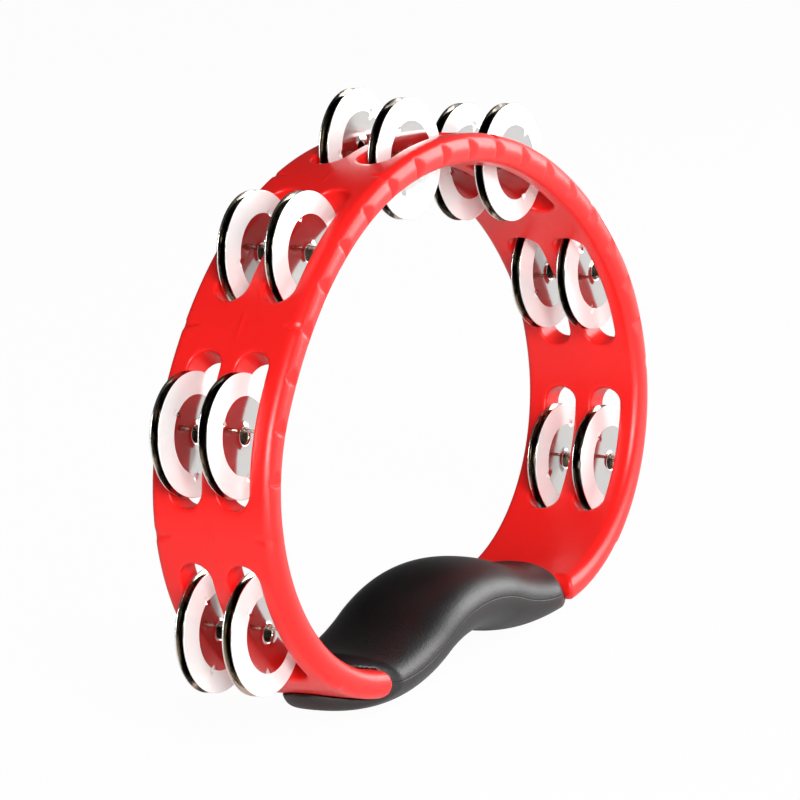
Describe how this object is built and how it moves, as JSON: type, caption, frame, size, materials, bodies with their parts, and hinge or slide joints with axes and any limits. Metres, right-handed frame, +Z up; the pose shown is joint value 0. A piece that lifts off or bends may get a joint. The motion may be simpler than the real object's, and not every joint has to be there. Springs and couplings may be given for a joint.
{
  "type": "tambourine",
  "caption": "Hand-held tambourine: a red moulded ring with a black soft grip, notches along one rim and pairs of loose steel jingles on wire pins.",
  "frame": {"origin": "centre of the bounding box in plan, at the underside of the grip", "axes": "+Z up through the middle jingle station, +Y along the ring's axis from the notched front rim to the plain rear rim, +X to the right seen from the front"},
  "size_m": [0.2818, 0.048, 0.2088],
  "materials": {
    "frame_plastic": "satin",
    "grip_rubber": "fine grain, satin",
    "jingle_steel": "polished nickel plate",
    "pin_steel": "drawn wire"
  },
  "bodies": {
    "frame": {"frame": "frame_plastic", "grip": "grip_rubber", "pin_a": "pin_steel", "pin_b": "pin_steel", "pin_c": "pin_steel", "pin_d": "pin_steel", "pin_e": "pin_steel", "pin_f": "pin_steel", "pin_g": "pin_steel"},
    "jingle_a_front_1": {"jingle_a_front_1": "jingle_steel"},
    "jingle_a_front_2": {"jingle_a_front_2": "jingle_steel"},
    "jingle_a_rear_1": {"jingle_a_rear_1": "jingle_steel"},
    "jingle_a_rear_2": {"jingle_a_rear_2": "jingle_steel"},
    "jingle_b_front_1": {"jingle_b_front_1": "jingle_steel"},
    "jingle_b_front_2": {"jingle_b_front_2": "jingle_steel"},
    "jingle_b_rear_1": {"jingle_b_rear_1": "jingle_steel"},
    "jingle_b_rear_2": {"jingle_b_rear_2": "jingle_steel"},
    "jingle_c_front_1": {"jingle_c_front_1": "jingle_steel"},
    "jingle_c_front_2": {"jingle_c_front_2": "jingle_steel"},
    "jingle_c_rear_1": {"jingle_c_rear_1": "jingle_steel"},
    "jingle_c_rear_2": {"jingle_c_rear_2": "jingle_steel"},
    "jingle_d_front_1": {"jingle_d_front_1": "jingle_steel"},
    "jingle_d_front_2": {"jingle_d_front_2": "jingle_steel"},
    "jingle_d_rear_1": {"jingle_d_rear_1": "jingle_steel"},
    "jingle_d_rear_2": {"jingle_d_rear_2": "jingle_steel"},
    "jingle_e_front_1": {"jingle_e_front_1": "jingle_steel"},
    "jingle_e_front_2": {"jingle_e_front_2": "jingle_steel"},
    "jingle_e_rear_1": {"jingle_e_rear_1": "jingle_steel"},
    "jingle_e_rear_2": {"jingle_e_rear_2": "jingle_steel"},
    "jingle_f_front_1": {"jingle_f_front_1": "jingle_steel"},
    "jingle_f_front_2": {"jingle_f_front_2": "jingle_steel"},
    "jingle_f_rear_1": {"jingle_f_rear_1": "jingle_steel"},
    "jingle_f_rear_2": {"jingle_f_rear_2": "jingle_steel"},
    "jingle_g_front_1": {"jingle_g_front_1": "jingle_steel"},
    "jingle_g_front_2": {"jingle_g_front_2": "jingle_steel"},
    "jingle_g_rear_1": {"jingle_g_rear_1": "jingle_steel"},
    "jingle_g_rear_2": {"jingle_g_rear_2": "jingle_steel"}
  },
  "joints": [
    {"name": "jingle_a_front_1_spin", "type": "hinge", "parent": "frame", "child": "jingle_a_front_1", "pos_m": [-0.11805, -0.0097, 0.0468], "axis": [0, 1, 0], "continuous": true},
    {"name": "jingle_a_front_2_spin", "type": "hinge", "parent": "frame", "child": "jingle_a_front_2", "pos_m": [-0.11805, -0.0055, 0.0468], "axis": [0, 1, 0], "continuous": true},
    {"name": "jingle_a_rear_1_spin", "type": "hinge", "parent": "frame", "child": "jingle_a_rear_1", "pos_m": [-0.11805, 0.0095, 0.0468], "axis": [0, 1, 0], "continuous": true},
    {"name": "jingle_a_rear_2_spin", "type": "hinge", "parent": "frame", "child": "jingle_a_rear_2", "pos_m": [-0.11805, 0.0137, 0.0468], "axis": [0, 1, 0], "continuous": true},
    {"name": "jingle_b_front_1_spin", "type": "hinge", "parent": "frame", "child": "jingle_b_front_1", "pos_m": [-0.11964, -0.0097, 0.11549], "axis": [0, 1, 0], "continuous": true},
    {"name": "jingle_b_front_2_spin", "type": "hinge", "parent": "frame", "child": "jingle_b_front_2", "pos_m": [-0.11964, -0.0055, 0.11549], "axis": [0, 1, 0], "continuous": true},
    {"name": "jingle_b_rear_1_spin", "type": "hinge", "parent": "frame", "child": "jingle_b_rear_1", "pos_m": [-0.11964, 0.0095, 0.11549], "axis": [0, 1, 0], "continuous": true},
    {"name": "jingle_b_rear_2_spin", "type": "hinge", "parent": "frame", "child": "jingle_b_rear_2", "pos_m": [-0.11964, 0.0137, 0.11549], "axis": [0, 1, 0], "continuous": true},
    {"name": "jingle_c_front_1_spin", "type": "hinge", "parent": "frame", "child": "jingle_c_front_1", "pos_m": [-0.06947, -0.0097, 0.16694], "axis": [0, 1, 0], "continuous": true},
    {"name": "jingle_c_front_2_spin", "type": "hinge", "parent": "frame", "child": "jingle_c_front_2", "pos_m": [-0.06947, -0.0055, 0.16694], "axis": [0, 1, 0], "continuous": true},
    {"name": "jingle_c_rear_1_spin", "type": "hinge", "parent": "frame", "child": "jingle_c_rear_1", "pos_m": [-0.06947, 0.0095, 0.16694], "axis": [0, 1, 0], "continuous": true},
    {"name": "jingle_c_rear_2_spin", "type": "hinge", "parent": "frame", "child": "jingle_c_rear_2", "pos_m": [-0.06947, 0.0137, 0.16694], "axis": [0, 1, 0], "continuous": true},
    {"name": "jingle_d_front_1_spin", "type": "hinge", "parent": "frame", "child": "jingle_d_front_1", "pos_m": [0, -0.0097, 0.18584], "axis": [0, 1, 0], "continuous": true},
    {"name": "jingle_d_front_2_spin", "type": "hinge", "parent": "frame", "child": "jingle_d_front_2", "pos_m": [0, -0.0055, 0.18584], "axis": [0, 1, 0], "continuous": true},
    {"name": "jingle_d_rear_1_spin", "type": "hinge", "parent": "frame", "child": "jingle_d_rear_1", "pos_m": [0, 0.0095, 0.18584], "axis": [0, 1, 0], "continuous": true},
    {"name": "jingle_d_rear_2_spin", "type": "hinge", "parent": "frame", "child": "jingle_d_rear_2", "pos_m": [0, 0.0137, 0.18584], "axis": [0, 1, 0], "continuous": true},
    {"name": "jingle_e_front_1_spin", "type": "hinge", "parent": "frame", "child": "jingle_e_front_1", "pos_m": [0.06947, -0.0097, 0.16694], "axis": [0, 1, 0], "continuous": true},
    {"name": "jingle_e_front_2_spin", "type": "hinge", "parent": "frame", "child": "jingle_e_front_2", "pos_m": [0.06947, -0.0055, 0.16694], "axis": [0, 1, 0], "continuous": true},
    {"name": "jingle_e_rear_1_spin", "type": "hinge", "parent": "frame", "child": "jingle_e_rear_1", "pos_m": [0.06947, 0.0095, 0.16694], "axis": [0, 1, 0], "continuous": true},
    {"name": "jingle_e_rear_2_spin", "type": "hinge", "parent": "frame", "child": "jingle_e_rear_2", "pos_m": [0.06947, 0.0137, 0.16694], "axis": [0, 1, 0], "continuous": true},
    {"name": "jingle_f_front_1_spin", "type": "hinge", "parent": "frame", "child": "jingle_f_front_1", "pos_m": [0.11964, -0.0097, 0.11549], "axis": [0, 1, 0], "continuous": true},
    {"name": "jingle_f_front_2_spin", "type": "hinge", "parent": "frame", "child": "jingle_f_front_2", "pos_m": [0.11964, -0.0055, 0.11549], "axis": [0, 1, 0], "continuous": true},
    {"name": "jingle_f_rear_1_spin", "type": "hinge", "parent": "frame", "child": "jingle_f_rear_1", "pos_m": [0.11964, 0.0095, 0.11549], "axis": [0, 1, 0], "continuous": true},
    {"name": "jingle_f_rear_2_spin", "type": "hinge", "parent": "frame", "child": "jingle_f_rear_2", "pos_m": [0.11964, 0.0137, 0.11549], "axis": [0, 1, 0], "continuous": true},
    {"name": "jingle_g_front_1_spin", "type": "hinge", "parent": "frame", "child": "jingle_g_front_1", "pos_m": [0.11805, -0.0097, 0.0468], "axis": [0, 1, 0], "continuous": true},
    {"name": "jingle_g_front_2_spin", "type": "hinge", "parent": "frame", "child": "jingle_g_front_2", "pos_m": [0.11805, -0.0055, 0.0468], "axis": [0, 1, 0], "continuous": true},
    {"name": "jingle_g_rear_1_spin", "type": "hinge", "parent": "frame", "child": "jingle_g_rear_1", "pos_m": [0.11805, 0.0095, 0.0468], "axis": [0, 1, 0], "continuous": true},
    {"name": "jingle_g_rear_2_spin", "type": "hinge", "parent": "frame", "child": "jingle_g_rear_2", "pos_m": [0.11805, 0.0137, 0.0468], "axis": [0, 1, 0], "continuous": true}
  ]
}
